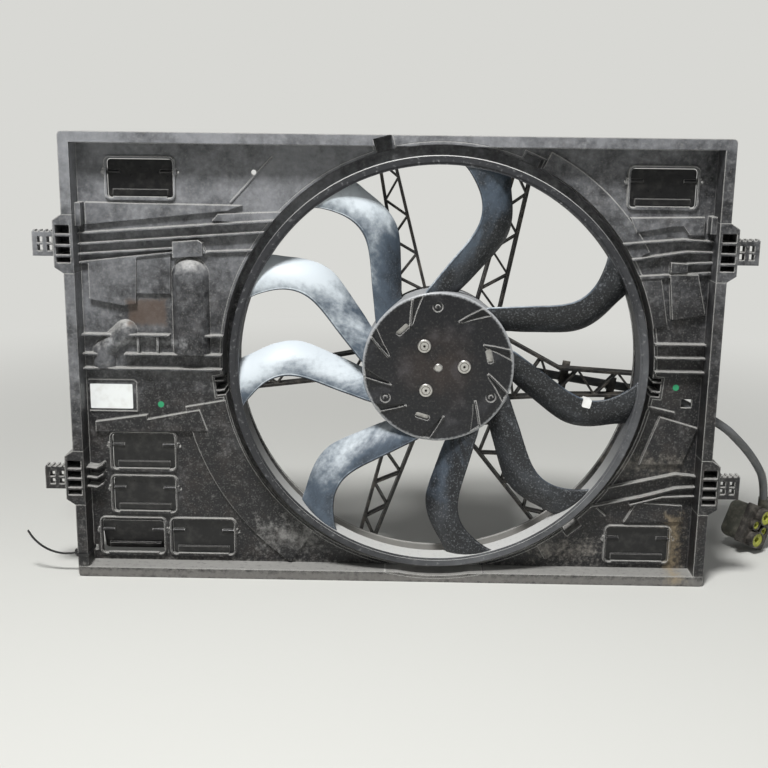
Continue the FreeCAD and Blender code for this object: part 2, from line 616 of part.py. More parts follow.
# ---------------------------------------------------------------- flaps
def flap(x, z, opened):
    """Plate behind its pivot pins, with round knuckles and a bead along the lower edge."""
    width, height = FLAP_W - 2 * FLAP_GAP, FLAP_H - 2 * FLAP_GAP
    parts = [rounded_rect(x, z, width, height, FLAP_CORNER_R - FLAP_GAP, FLAP_Y, FLAP_Y + FLAP_T)]
    knuckle_r, knuckle_l = FLAP_KNUCKLE
    end, reach = FLAP_W / 2 - 0.8, FLAP_W / 2 + EAR_W - 0.3
    for side in (-1, 1):
        start = V(x + side * (end - knuckle_l), PIN_Y, pin_z(z))
        parts.append(Part.makeCylinder(knuckle_r, knuckle_l, start, V(side, 0, 0)))
        parts.append(Part.makeCylinder(FLAP_PIN_R, reach - end + knuckle_l, start, V(side, 0, 0)))
    bead_h, bead_out = FLAP_BEAD
    low, half = z - height / 2 + 2.0, width / 2
    parts.append(box(x - half + 5, x + half - 5, FLAP_Y - bead_out, FLAP_Y + 0.5, low, low + bead_h))
    parts.append(box(x - half + 6, x + half - 6, FLAP_Y, FLAP_Y + 2 * FLAP_T, low + 3, low + 4.4))
    shape = fuse(parts).removeSplitter()
    shape.rotate(V(x, PIN_Y, pin_z(z)), V(1, 0, 0), opened)
    return shape


# ---------------------------------------------------------------- motor carrier
def carrier_ring():
    """Centre ring that holds the motor, joined to the struts."""
    ring = ring_y(CARRIER_R, BASE_R + CARRIER_CLEARANCE, TUNNEL_DEPTH, STRUT_REAR)
    return ring.cut(fuse([cyl_y(2.5, STRUT_REAR - 12, STRUT_REAR + 1, *p) for p in mount_screw_places()]))


def mount_screw_places():
    middle = (BASE_R + CARRIER_CLEARANCE + CARRIER_R) / 2
    return [polar(middle, a) for a in (40, 160, 280)]


# ring angle, half spread at the ring, hub angle, half spread at the hub
STRUTS = (
    (105.1, 9.0, 111.5, 15.0),
    (67.0, 10.0, 42.5, 14.5),
    (-56.3, 10.0, -60.6, 18.0),
    (-109.7, 9.6, -114.8, 17.0),
    (-172.4, 9.5, -175.7, 15.0),
)
# angle and share of the way from the centre ring to the tunnel, along the two rails of the
# widest strut, which carries the lead
WIDE_STRUT = (
    ((19.0, -0.007), (-4.0, 0.383), (-3.8, 0.976)),
    ((-37.7, -0.022), (-16.1, 0.431), (-9.7, 0.987)),
)


def rail_place(points, share):
    """Place at a share of the length of a rail that runs through points."""
    lengths = [math.dist(p, q) for p, q in zip(points, points[1:])]
    left_over = share * sum(lengths)
    for p, q, length in zip(points, points[1:], lengths):
        if left_over <= length:
            break
        left_over -= length
    k = min(left_over / length, 1.0)
    return p[0] + (q[0] - p[0]) * k, p[1] + (q[1] - p[1]) * k


def lattice(rails):
    """Two deep rails with zigzag webs between them, trimmed to the centre ring and the tunnel."""
    y0, y1 = LIP_REAR, STRUT_REAR
    parts = [bar(p, q, STRUT_RAIL_T, y0, y1) for rail in rails for p, q in zip(rail, rail[1:])]
    parts += [cyl_y(STRUT_RAIL_T / 2, y0, y1, *p) for rail in rails for p in rail[1:-1]]
    shares = [0.03 + 0.94 * i / STRUT_PANELS for i in range(STRUT_PANELS + 1)]
    for i, (a, b) in enumerate(zip(shares, shares[1:])):
        start, end = rails[i % 2], rails[1 - i % 2]
        parts.append(bar(rail_place(start, a), rail_place(end, b), STRUT_WEB_T, y0 + 2, y1 - 2))
    parts.append(bar(rail_place(rails[0], 0.99), rail_place(rails[1], 0.99), STRUT_WEB_T, y0, y1))
    body = fuse(parts).cut(cyl_y(CARRIER_R, y0 - 1, y1 + 1))
    return body.common(cyl_y(TUNNEL_OUT - 1, y0 - 1, y1 + 1)).removeSplitter()


def straight_rails(ring_angle, ring_half, hub_angle, hub_half):
    """Rails that close towards the tunnel."""
    inner, outer = V(*polar(CARRIER_R - 6, hub_angle)), V(*polar(TUNNEL_R - 4, ring_angle))
    run = outer - inner
    across = V(-run.y, run.x, 0).normalize()
    rails = []
    for side in (-1, 1):
        p = inner + across * (side * (hub_half - STRUT_RAIL_T / 2))
        q = outer + across * (side * (ring_half - STRUT_RAIL_T / 2))
        rails.append([(p.x, p.y), (q.x, q.y)])
    return rails


def wide_rails():
    return [[polar(CARRIER_R + share * (TUNNEL_R - CARRIER_R), angle) for angle, share in rail]
            for rail in WIDE_STRUT]


def carrier_struts():
    beams = [straight_rails(*values) for values in STRUTS] + [wide_rails()]
    return Part.makeCompound([lattice(rails) for rails in beams])


# ---------------------------------------------------------------- fan
def fan_band():
    """Outer ring of the fan: a thin wall with a flat flange in front."""
    profile = [(BAND_FLANGE_R - 0.8, 0), (BAND_FLANGE_R, 0.8), (BAND_FLANGE_R, BAND_FLANGE_T),
               (BAND_R + BAND_WALL, BAND_FLANGE_T), (BAND_R + BAND_WALL, BAND_DEPTH), (BAND_R, BAND_DEPTH),
               (BAND_R, BAND_STEP[1]), (BAND_R + BAND_STEP[0], BAND_STEP[1]), (BAND_R + BAND_STEP[0], 0)]
    wire = Part.makePolygon([V(FAN_X + r, y, FAN_Z) for r, y in profile + profile[:1]])
    return Part.Face(wire).revolve(V(FAN_X, 0, FAN_Z), V(0, 1, 0), 360)


def blade_section(place, sweep, width, depth, mid_y, tip_angle):
    """Cambered section square to the radius, its rounded nose leading and in front."""
    a = math.radians(tip_angle + sweep)
    out = V(math.cos(a), 0, math.sin(a))
    ahead = V(-math.sin(a), 0, math.cos(a))
    axis = V(0, 1, 0)
    middle = V(FAN_X, mid_y, FAN_Z) + out * (HUB_R + place * (BAND_R - HUB_R))
    nose = middle + ahead * (width / 2) - axis * (depth / 2)
    tail = middle - ahead * (width / 2) + axis * (depth / 2)
    chord = tail - nose
    normal = V(chord).normalize().cross(out)
    if normal.y > 0:
        normal = -normal
    crown = (nose + tail) / 2 + normal * (chord.Length * BLADE_CAMBER)
    half = normal * (BLADE_T / 2)
    thin = normal * (BLADE_T / 4)
    lead = (nose - tail).normalize() * (BLADE_T / 2)
    front = Part.Arc(nose + half, crown + half, tail + thin).toShape()
    end = Part.LineSegment(tail + thin, tail - thin).toShape()
    rear = Part.Arc(tail - thin, crown - half, nose - half).toShape()
    round_nose = Part.Arc(nose - half, nose + lead, nose + half).toShape()
    return Part.Wire([front, end, rear, round_nose])


def blade(tip_angle):
    """Sickle blade lofted through its stations and trimmed to the hub and the band."""
    wires = [blade_section(*station, tip_angle) for station in BLADE_STATIONS]
    solid = Part.makeLoft(wires, True, False)
    solid = solid.common(cyl_y(BAND_R, -5, BAND_DEPTH + 5))
    return solid.cut(cyl_y(HUB_R, -5, BAND_DEPTH + 5))


def swirl_ribs():
    """Curved ribs near the hub's edge, each beside a shallow wedge-shaped pocket."""
    ribs, pockets = [], []
    for degrees in (14.6, 54.1, 111.1, 155.7, 188.8, 218.8, 264.8, 305.7, 340.4):
        inner, middle, outer = polar(51, degrees + 13), polar(61, degrees + 6.5), polar(HUB_R - 2.5, degrees)
        y0 = HUB_FRONT - SWIRL_H
        ribs += [bar(inner, middle, SWIRL_T, y0, HUB_FRONT + 1),
                 bar(middle, outer, SWIRL_T, y0, HUB_FRONT + 1),
                 cyl_y(SWIRL_T / 2, y0, HUB_FRONT + 1, *middle)]
        pockets.append(prism([inner, middle, outer, polar(HUB_R - 2.5, degrees - 8),
                              polar(61, degrees + 1), polar(52, degrees + 9)],
                             HUB_FRONT - 1, HUB_FRONT + SWIRL_POCKET))
    return ribs, pockets


def hub_slots():
    cuts = []
    for degrees in (13.5, 133.5, 253.5):
        x, z = polar(53, degrees)
        slot = rounded_rect(x, z, 5.5, 14.5, 2.0, HUB_FRONT - 2, HUB_FRONT + HUB_WALL + 1)
        slot.rotate(V(x, 0, z), V(0, 1, 0), -degrees)
        cuts.append(slot)
    return cuts


def fan_hub():
    """Cup that covers the motor: front wall, skirt, screw bosses, slots and swirl ribs."""
    cup = cyl_y(HUB_R, HUB_FRONT, HUB_REAR)
    front_edge = [e for e in cup.Edges if abs(e.BoundBox.YMax - HUB_FRONT) < 0.01 and e.Length > 100]
    cup = cup.makeFillet(HUB_EDGE_R, front_edge)
    cup = cup.cut(cyl_y(HUB_R - HUB_WALL, HUB_FRONT + HUB_WALL, HUB_REAR + 1))
    ribs, pockets = swirl_ribs()
    bosses = [cyl_y(8.0, HUB_FRONT + HUB_WALL - 1, CAN_FRONT, *polar(FAN_SCREW_PCR, a))
              for a in FAN_SCREW_ANGLES]
    dimples = [ring_y(5.0, 2.2, HUB_FRONT - 1, HUB_FRONT + 1.0, *polar(62, a)) for a in (91.5, 211.0, 331.0)]
    holes = hub_slots() + [cyl_y(SHAFT_R + SEAT_GAP, HUB_FRONT - 1, CAN_FRONT + 1)]
    holes += [cyl_y(FAN_SCREW_R + SEAT_GAP, HUB_FRONT - 1, CAN_FRONT + 1, *polar(FAN_SCREW_PCR, a))
              for a in FAN_SCREW_ANGLES]
    body = cup.cut(fuse(pockets + dimples)).fuse(fuse(ribs + bosses))
    return body.cut(fuse(holes)).removeSplitter()


def balance_clip():
    """Small clip pushed over a blade's leading edge."""
    x, z = polar(155, -12.6)
    clip = rounded_rect(x, z, 8.5, 9.0, 1.2, 3.0, 14.0)
    clip.rotate(V(x, 0, z), V(0, 1, 0), 12.6)
    solid = clip.cut(blade(BLADE_ANGLES[6]))
    return sorted(solid.Solids, key=lambda s: s.Volume)[-1]


def fan_screws():
    screws = []
    for angle in FAN_SCREW_ANGLES:
        x, z = polar(FAN_SCREW_PCR, angle)
        head = cyl_y(FAN_SCREW_HEAD_R, HUB_FRONT - 2.2, HUB_FRONT, x, z)
        rim = [e for e in head.Edges if abs(e.BoundBox.YMax - (HUB_FRONT - 2.2)) < 0.01 and e.Length > 10]
        head = head.makeFillet(1.0, rim)
        recess = cyl_y(1.0, HUB_FRONT - 3, HUB_FRONT - 1.6, x, z)
        screws.append(head.fuse(cyl_y(FAN_SCREW_R, HUB_FRONT - 0.5, CAN_FRONT + CAN_T, x, z)).cut(recess))
    return Part.makeCompound([s.removeSplitter() for s in screws])


# ---------------------------------------------------------------- motor
def motor_shaft():
    shaft = cyl_y(SHAFT_R, HUB_FRONT - 1.5, BASE_FRONT + BASE_T - 1.0)
    ends = [e for e in shaft.Edges if abs(e.BoundBox.YMax - e.BoundBox.YMin) < 0.01]
    return shaft.makeChamfer(0.6, ends)


def rotor_can():
    """Steel bell screwed to the hub, with the boss that is pressed on the shaft."""
    can = cyl_y(CAN_R, CAN_FRONT, CAN_REAR).cut(cyl_y(CAN_R - CAN_T, CAN_FRONT + CAN_T, CAN_REAR + 1))
    can = can.fuse(cyl_y(9.0, CAN_FRONT, CAN_FRONT + CAN_T + 2.5))
    holes = [cyl_y(FAN_SCREW_R + SEAT_GAP, CAN_FRONT - 1, CAN_FRONT + CAN_T + 1,
                   *polar(FAN_SCREW_PCR, a)) for a in FAN_SCREW_ANGLES]
    return can.cut(fuse(holes + [cyl_y(SHAFT_R, CAN_FRONT - 1, CAN_FRONT + 9)])).removeSplitter()


def magnet_ring():
    return ring_y(MAGNET_OUT, MAGNET_IN, STATOR_FRONT - 2, STATOR_FRONT + STATOR_H + 1.5)


def stator_tooth(i):
    """One tooth with its pole shoe, before turning to its place."""
    shoe = 20.0
    neck = box(FAN_X + 24, FAN_X + STATOR_R - 2, STATOR_FRONT, STATOR_FRONT + STATOR_H, FAN_Z - 4, FAN_Z + 4)
    foot = box(FAN_X + STATOR_R - 5, FAN_X + STATOR_R + 1, STATOR_FRONT, STATOR_FRONT + STATOR_H,
               FAN_Z - shoe / 2, FAN_Z + shoe / 2)
    tooth = neck.fuse(foot)
    tooth.rotate(V(FAN_X, 0, FAN_Z), V(0, 1, 0), 360.0 * i / STATOR_TEETH)
    return tooth


def stator_core():
    yoke = cyl_y(27.0, STATOR_FRONT, STATOR_FRONT + STATOR_H)
    body = yoke.multiFuse([stator_tooth(i) for i in range(STATOR_TEETH)])
    body = body.common(cyl_y(STATOR_R, 0, STATOR_FRONT + STATOR_H))
    return body.cut(cyl_y(BEARING_TUBE_R, 0, BASE_REAR)).removeSplitter()


def stator_coils():
    coils = []
    for i in range(STATOR_TEETH):
        coil = box(FAN_X + 29, FAN_X + STATOR_R - 7, STATOR_FRONT - 1.5, STATOR_FRONT + STATOR_H + 1.5,
                   FAN_Z - 6.5, FAN_Z + 6.5)
        coil = coil.cut(box(FAN_X, FAN_X + STATOR_R, STATOR_FRONT, STATOR_FRONT + STATOR_H,
                            FAN_Z - 4, FAN_Z + 4))
        coil.rotate(V(FAN_X, 0, FAN_Z), V(0, 1, 0), 360.0 * i / STATOR_TEETH)
        coils.append(coil)
    return Part.makeCompound(coils)


def bearing_seats():
    return (CAN_FRONT + CAN_T + 3.5, BASE_FRONT - BEARING_W + 2.0)


def bearing(y):
    """Sealed ball bearing, as one ring."""
    ring = ring_y(BEARING_R, SHAFT_R + SHAFT_CLEARANCE, y, y + BEARING_W)
    grooves = ring_y(BEARING_R - 2, SHAFT_R + 2, y - 1, y + 0.5).fuse(
        ring_y(BEARING_R - 2, SHAFT_R + 2, y + BEARING_W - 0.5, y + BEARING_W + 1))
    return ring.cut(grooves)


def motor_base():
    """Casting that carries the stator in front and the electronics behind."""
    front, rear = bearing_seats()
    disc = cyl_y(BASE_R, BASE_FRONT, BASE_FRONT + BASE_T)
    tube = cyl_y(BEARING_TUBE_R, front, BASE_FRONT + 1)
    drum = ring_y(BASE_R, BASE_R - BASE_WALL, BASE_FRONT + 1, BASE_REAR)
    flange = ring_y(CARRIER_R + 1.0, BASE_R - 1, STRUT_REAR, BASE_REAR)
    posts = [cyl_y(3.0, BASE_FRONT + BASE_T - 1, BASE_FRONT + BASE_T + 6, *polar(BOARD_R - 6, a))
             for a in (70, 190, 310)]
    body = disc.multiFuse([tube, drum, flange] + posts)
    holes = [cyl_y(BEARING_R, front - 1, front + BEARING_W), cyl_y(BEARING_R, rear, rear + BEARING_W),
             cyl_y(SHAFT_R + 2.5, front, BASE_FRONT + BASE_T)]
    holes += [cyl_y(2.5 + SEAT_GAP, STRUT_REAR - 1, BASE_REAR + 1, *p) for p in mount_screw_places()]
    holes += [cyl_y(1.5, BASE_REAR - 8, BASE_REAR + 1, *p) for p in cover_screw_places()]
    plug = cyl_y(SHAFT_R + 3, BASE_FRONT + BASE_T - 0.4, BASE_FRONT + BASE_T + 1.5)
    return body.cut(fuse(holes)).fuse(plug).removeSplitter()


def cover_screw_places():
    return [polar(BASE_R - BASE_WALL / 2, a) for a in (25, 115, 205, 295)]


def control_board():
    y = BASE_FRONT + BASE_T + 6
    board = cyl_y(BOARD_R, y, y + 1.6)
    parts = [board]
    parts += [cyl_y(5.0, y + 1.6, y + 11.0, *polar(34, a)) for a in (100, 128, 156)]
    parts += [box(FAN_X - 6, FAN_X + 30, y + 1.6, y + 6.0, FAN_Z - 34, FAN_Z - 22),
              box(FAN_X - 8, FAN_X + 8, y + 1.6, y + 3.4, FAN_Z - 8, FAN_Z + 8)]
    return fuse(parts).removeSplitter()


def lead_axis():
    """Direction along which the lead leaves the motor."""
    a = math.radians(LEAD_ANGLE)
    return V(math.cos(a), 0, math.sin(a))


def on_lead(radius, y):
    x, z = polar(radius, LEAD_ANGLE)
    return V(x, y, z)


def electronics_cover():
    """Finned lid over the electronics with the outlet for the lead."""
    lid = cyl_y(BASE_R, BASE_REAR, BASE_REAR + COVER_T)
    count = int((FIN_R - FIN_T) / FIN_PITCH)
    fins = [box(FAN_X + i * FIN_PITCH - FIN_T / 2, FAN_X + i * FIN_PITCH + FIN_T / 2,
                BASE_REAR + COVER_T - 1, COVER_REAR, FAN_Z - FIN_R, FAN_Z + FIN_R)
            for i in range(-count, count + 1)]
    fins = fuse(fins).common(cyl_y(FIN_R, BASE_REAR, COVER_REAR))
    outlet = Part.makeCylinder(CABLE_R + GROMMET_T + 1.2, LEAD_OUTLET,
                               on_lead(BASE_R - LEAD_OUTLET, LEAD_START_Y), lead_axis())
    outlet = outlet.common(box(-BIG, BIG, BASE_REAR, BIG, -BIG, BIG))
    holes = [cyl_y(1.5, BASE_REAR - 1, BASE_REAR + COVER_T + 1, *p) for p in cover_screw_places()]
    return lid.multiFuse([fins, outlet]).cut(fuse(holes)).removeSplitter()


def screw(x, z, seat, length, shank_r, head_r, head_h):
    """Pan-head screw driven in from the rear."""
    head = cyl_y(head_r, seat, seat + head_h, x, z)
    shank = cyl_y(shank_r, seat - length, seat, x, z)
    drive = cyl_y(head_r * 0.4, seat + head_h * 0.4, seat + head_h + 1, x, z)
    return head.fuse(shank).cut(drive).removeSplitter()


def mount_screws():
    return Part.makeCompound([screw(x, z, BASE_REAR, BASE_FLANGE_T + 11, 2.5, 4.0, 3.2)
                              for x, z in mount_screw_places()])


def cover_screws():
    return Part.makeCompound([screw(x, z, BASE_REAR + COVER_T, COVER_T + 7, 1.5, 2.2, 2.0)
                              for x, z in cover_screw_places()])


# ---------------------------------------------------------------- motor lead, plug and tie
def tube(points, radius):
    """Round tube along straight runs joined by arcs as large as the runs allow."""
    points = [V(*p) for p in points]
    edges, radii, start = [], [], points[0]
    for before, corner, after in zip(points, points[1:], points[2:]):
        back, ahead = before - corner, after - corner
        half_turn = (math.pi - back.getAngle(ahead)) / 2
        reach = 0.45 * min(back.Length, ahead.Length)
        bend = reach / math.tan(half_turn)
        back.normalize()
        ahead.normalize()
        a, b = corner + back * reach, corner + ahead * reach
        inward = (back + ahead).normalize()
        middle = corner + inward * (bend / math.cos(half_turn) - bend)
        edges += [Part.LineSegment(start, a).toShape(), Part.Arc(a, middle, b).toShape()]
        radii.append(round(bend, 1))
        start = b
    edges.append(Part.LineSegment(start, points[-1]).toShape())
    path = Part.Wire(edges)
    profile = Part.Wire(Part.makeCircle(radius, points[0], points[1] - points[0]))
    solid = path.makePipeShell([profile], True, False)
    print("radii", radii, "length", round(path.Length, 1),
          "volume over section times length", round(solid.Volume / (math.pi * radius ** 2 * path.Length), 4))
    return solid


def held_route():
    """Out of the motor, along the strut, over the tunnel and down to the clip at the panel's edge."""
    first = V(*CABLE_EXIT) - V(*FREE_ROUTE[1])
    bends = [BASE_R + share * (TUNNEL_R - BASE_R) for share in LEAD_BENDS]
    return [on_lead(BASE_R, LEAD_START_Y), on_lead(bends[0], LEAD_START_Y), on_lead(bends[1], LEAD_Y),
            on_lead(TUNNEL_R + LEAD_OVER_EDGE * SIDE_ROOM, LEAD_Y),
            V(*CABLE_EXIT) + first.normalize() * (LEAD_LAST_RUN * SIDE_ROOM), V(*CABLE_EXIT)]


def motor_lead():
    """The held stretch, from the motor's outlet over the strut to the clip at the panel's edge."""
    return tube(held_route(), CABLE_R)


def lead_grommet():
    start, axis = on_lead(BASE_R, LEAD_START_Y), lead_axis()
    sleeve = Part.makeCylinder(CABLE_R + GROMMET_T, GROMMET_REACH, start, axis)
    return sleeve.cut(Part.makeCylinder(CABLE_R + 3 * CLIP_BORE_GAP, GROMMET_REACH, start, axis))


def cable_clip(centre, axis, foot_y, foot_ends):
    """Collar round the lead on a flat foot that reaches to both sides of it."""
    axis = V(*axis).normalize()
    across = axis.cross(V(0, 1, 0)).normalize()
    start = centre - axis * (CABLE_CLIP_W / 2)
    collar = Part.makeCylinder(CABLE_R + CABLE_CLIP_T, CABLE_CLIP_W, start, axis)
    bore = Part.makeCylinder(CABLE_R + CLIP_BORE_GAP, CABLE_CLIP_W + 2, start - axis, axis)
    flat = V(axis.x, 0, axis.z).normalize() * (CABLE_CLIP_W / 2)
    base = V(centre.x, foot_y, centre.z)
    low, high = foot_ends
    corners = [base - flat + across * low, base + flat + across * low,
               base + flat + across * high, base - flat + across * high]
    foot = Part.Face(Part.makePolygon(corners + corners[:1])).extrude(V(0, CABLE_CLIP_T + 0.6, 0))
    above = box(-BIG, BIG, foot_y, BIG, -BIG, BIG)
    return collar.fuse(foot).common(above).cut(bore).removeSplitter()


def rail_offset(rail, radius):
    """How far a rail passes beside the lead at a distance from the fan axis."""
    along = lead_axis()
    across = V(-along.z, 0, along.x)
    places = [V(x - FAN_X, 0, z - FAN_Z) for x, z in rail]
    for p, q in zip(places, places[1:]):
        if p.dot(along) <= radius <= q.dot(along):
            k = (radius - p.dot(along)) / (q - p).dot(along)
            return (p + (q - p) * k).dot(across)


def lead_clips():
    """Two clips on the strut, their feet on both of its rails."""
    clips = []
    for share in LEAD_CLIP_SHARES:
        radius = CARRIER_R + share * (TUNNEL_R - CARRIER_R)
        ends = sorted(-rail_offset(rail, radius) for rail in wide_rails())
        ends = (ends[0] - STRUT_RAIL_T / 2, ends[1] + STRUT_RAIL_T / 2)
        clips.append(cable_clip(on_lead(radius, LEAD_Y), lead_axis(), STRUT_REAR, ends))
    return Part.makeCompound(clips)


def edge_clip():
    """Clip on the back of the panel beside its right edge."""
    before, after = held_route()[-2:]
    run = (after - before).normalize()
    return cable_clip(after - run * LEAD_CLIP_EDGE, run, RIM_DEPTH, (-9.0, 9.0))


def plug_axes():
    """Across, up and out of the plug's face."""
    yaw, roll = math.radians(PLUG_YAW), math.radians(PLUG_ROLL)
    out = V(math.sin(yaw), -math.cos(yaw), 0)
    level = V(math.cos(yaw), math.sin(yaw), 0)
    up = V(0, 0, 1) * math.cos(roll) + level * math.sin(roll)
    across = level * math.cos(roll) - V(0, 0, 1) * math.sin(roll)
    return across, up, out


def plug_face():
    return V(CABLE_EXIT[0] + PLUG_STEP[0], CABLE_EXIT[1] + PLUG_STEP[1], PLUG_Z)


def plug_place(shape):
    """Turn a piece drawn with its face to the front and put it where the plug lies."""
    across, up, out = plug_axes()
    back = -out
    face = plug_face()
    matrix = FreeCAD.Matrix(across.x, back.x, up.x, face.x, across.y, back.y, up.y, face.y,
                            across.z, back.z, up.z, face.z, 0, 0, 0, 1)
    return shape.transformed(matrix, True)


def plug_point(a, b, c):
    across, up, out = plug_axes()
    return plug_face() + across * a + up * b - out * c


PORTS = ((0.0, -13.5, PLUG_PORT_R), (0.0, 13.5, PLUG_PORT_R),
         (-7.5, 1.5, PLUG_PIN_PORT_R), (8.0, -1.5, PLUG_PIN_PORT_R))


def plug_housing():
    """Face plate with its four tubular ports."""
    body = rounded_rect(0, 0, PLUG_W, PLUG_H, 3.0, 0, PLUG_PLATE_T)
    ports = [cyl_y(r, -PLUG_PORT_L * (1 if r > 7 else 0.6), 1, x, z) for x, z, r in PORTS]
    bores = [cyl_y(r - 1.4, -PLUG_PORT_L - 1, PLUG_PLATE_T - 1.5, x, z) for x, z, r in PORTS]
    return body.fuse(fuse(ports)).cut(fuse(bores)).removeSplitter()


def plug_seals():
    """Soft seal in each port with its terminal hole."""
    seals = []
    for x, z, r in PORTS:
        front = -PLUG_PORT_L * (1 if r > 7 else 0.6) + 1.6
        seals.append(ring_y(r - 1.4, r * 0.35, front, PLUG_PLATE_T - 1.5, x, z))
    return Part.makeCompound(seals)


def plug_cover():
    """Rounded back shell with the elbow outlet that the lead goes into."""
    width, height = PLUG_W - 2, PLUG_H - 3
    shell = rounded_rect(0, 0, width, height, 9.0, PLUG_PLATE_T, PLUG_PLATE_T + PLUG_CAP_T)
    rim = [e for e in shell.Edges if abs(e.BoundBox.YMin - PLUG_PLATE_T - PLUG_CAP_T) < 0.01]
    shell = plug_place(shell.makeFillet(8.0, rim))
    root = plug_point(PLUG_OUTLET_SIDE, PLUG_H / 2 - 1, PLUG_OUTLET_BACK)
    neck_start = plug_point(PLUG_OUTLET_SIDE, PLUG_H / 2 - 8, PLUG_OUTLET_BACK)
    end = V(*FREE_ROUTE[-1])
    end = end - (end - root).normalize() * CLIP_BORE_GAP
    neck = Part.makeCylinder(PLUG_OUTLET_R, (root - neck_start).Length, neck_start, root - neck_start)
    ball = Part.makeSphere(PLUG_OUTLET_R, root)
    boot = Part.makeCone(PLUG_OUTLET_R, CABLE_R + 1.0, (end - root).Length, root, end - root)
    return shell.multiFuse([neck, ball, boot]).removeSplitter()


def free_cable():
    return tube(FREE_ROUTE, CABLE_R)


def label_sticker():
    width, height, thick = LABEL
    return rounded_rect(left(36.5), up(190.0), width, height, 1.0, FLOOR_Y - thick, FLOOR_Y)


def arc_strip(p, q, r, thick, y0, y1):
    """Strip of even thickness along the arc through three points in X and Z."""
    arc = Part.Arc(V(p[0], y0, p[1]), V(q[0], y0, q[1]), V(r[0], y0, r[1])).toShape()
    centre = arc.Curve.Center
    inner, outer = [], []
    for x, z in (p, q, r):
        spoke = (V(x, y0, z) - centre).normalize() * (thick / 2)
        inner.append(V(x, y0, z) - spoke)
        outer.append(V(x, y0, z) + spoke)
    wire = Part.Wire([Part.Arc(*outer).toShape(), Part.LineSegment(outer[2], inner[2]).toShape(),
                      Part.Arc(*inner[::-1]).toShape(), Part.LineSegment(inner[0], outer[0]).toShape()])
    return Part.Face(wire).extrude(V(0, y1 - y0, 0))


def cable_tie():
    """Nylon tie round the left rim beside the lower flaps, its tail standing off to the left."""
    gap, z0, z1 = 0.15, TIE_Z - TIE_W / 2, TIE_Z + TIE_W / 2
    x0, x1, y0, y1 = -HALF_W - gap, -INNER_X + gap, -gap, RIM_DEPTH + gap
    loop = box(x0 - TIE_T, x1 + TIE_T, y0 - TIE_T, y1 + TIE_T, z0, z1)
    loop = loop.cut(box(x0, x1, y0, y1, z0 - 1, z1 + 1))
    head = box(x0 - TIE_T - 3.6, x0 - 0.2, 6.0, 11.0, TIE_Z - 2.4, TIE_Z + 2.4)
    tail = arc_strip((x0 - TIE_T - 3.0, TIE_Z - 1.0), (x0 - 31.0, TIE_Z + 1.0), (x0 - 54.0, TIE_Z + 23.0),
                     TIE_T, 8.5 - TIE_W / 2, 8.5 + TIE_W / 2)
    return loop.multiFuse([head, tail]).removeSplitter()


# ---------------------------------------------------------------- write the pieces
def nodes():
    pieces = {
        "shroud_panel": shroud_panel(),
        "shroud_rim": shroud_rim(),
        "fan_tunnel": fan_tunnel(),
        "side_clips": side_clips(),
        "carrier_ring": carrier_ring(),
        "carrier_struts": carrier_struts(),
        "fan_band": fan_band(),
        "fan_hub": fan_hub(),
        "balance_clip": balance_clip(),
        "fan_screws": fan_screws(),
        "motor_shaft": motor_shaft(),
        "rotor_can": rotor_can(),
        "magnet_ring": magnet_ring(),
        "stator_core": stator_core(),
        "stator_coils": stator_coils(),
        "bearing_front": bearing(bearing_seats()[0]),
        "bearing_rear": bearing(bearing_seats()[1]),
        "motor_base": motor_base(),
        "control_board": control_board(),
        "electronics_cover": electronics_cover(),
        "mount_screws": mount_screws(),
        "cover_screws": cover_screws(),
        "motor_lead": motor_lead(),
        "lead_grommet": lead_grommet(),
        "lead_clips": lead_clips(),
        "edge_clip": edge_clip(),
        "free_cable": free_cable(),
        "plug_housing": plug_place(plug_housing()),
        "plug_cover": plug_cover(),
        "plug_seals": plug_place(plug_seals()),
        "label_sticker": label_sticker(),
        "cable_tie": cable_tie(),
    }
    for number, angle in enumerate(BLADE_ANGLES, 1):
        pieces[f"fan_blade_{number}"] = blade(angle)
    for name, x, z, opened in flap_sites():
        pieces[name] = flap(x, z, opened)
    return pieces


def main():
    os.makedirs("parts", exist_ok=True)
    for name, shape in nodes().items():
        shape = shape.copy()
        shape.translate(V(0, -ORIGIN_Y, 0))
        shape.exportStep(f"parts/{name}.step")
        print(name, shape.isValid(), len(shape.Solids), round(shape.Volume / 1000, 2))


main()
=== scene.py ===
"""Looks of the radiator fan shroud: used, dusty black mouldings round a brushless fan."""
import bpy
import bmesh
import math
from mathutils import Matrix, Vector


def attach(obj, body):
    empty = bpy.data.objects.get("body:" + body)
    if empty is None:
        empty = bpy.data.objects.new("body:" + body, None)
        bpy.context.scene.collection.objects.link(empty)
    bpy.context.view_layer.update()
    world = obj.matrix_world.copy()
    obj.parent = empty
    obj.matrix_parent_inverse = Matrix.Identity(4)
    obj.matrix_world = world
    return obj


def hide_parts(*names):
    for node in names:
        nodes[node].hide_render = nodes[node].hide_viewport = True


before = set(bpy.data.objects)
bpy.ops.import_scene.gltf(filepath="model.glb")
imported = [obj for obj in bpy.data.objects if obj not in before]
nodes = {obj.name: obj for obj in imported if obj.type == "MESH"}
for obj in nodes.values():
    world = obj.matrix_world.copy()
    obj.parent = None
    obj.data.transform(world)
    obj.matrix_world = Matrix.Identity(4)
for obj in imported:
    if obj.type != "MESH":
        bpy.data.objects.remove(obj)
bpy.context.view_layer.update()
scene = bpy.context.scene

MM = 0.001
PER_MM = 1000.0  # a noise of scale PER_MM / n has features about n millimetres across
FAN_CENTRE = (0.046, 0.0, 0.2285)
SCREW_PLACES = ((0.0724, 0.0, 0.2299), (0.0316, 0.0, 0.2506), (0.0340, 0.0, 0.2050))
PAINT_DOTS = ((-0.240, 0.0105, 0.182), (0.291, 0.0105, 0.208))


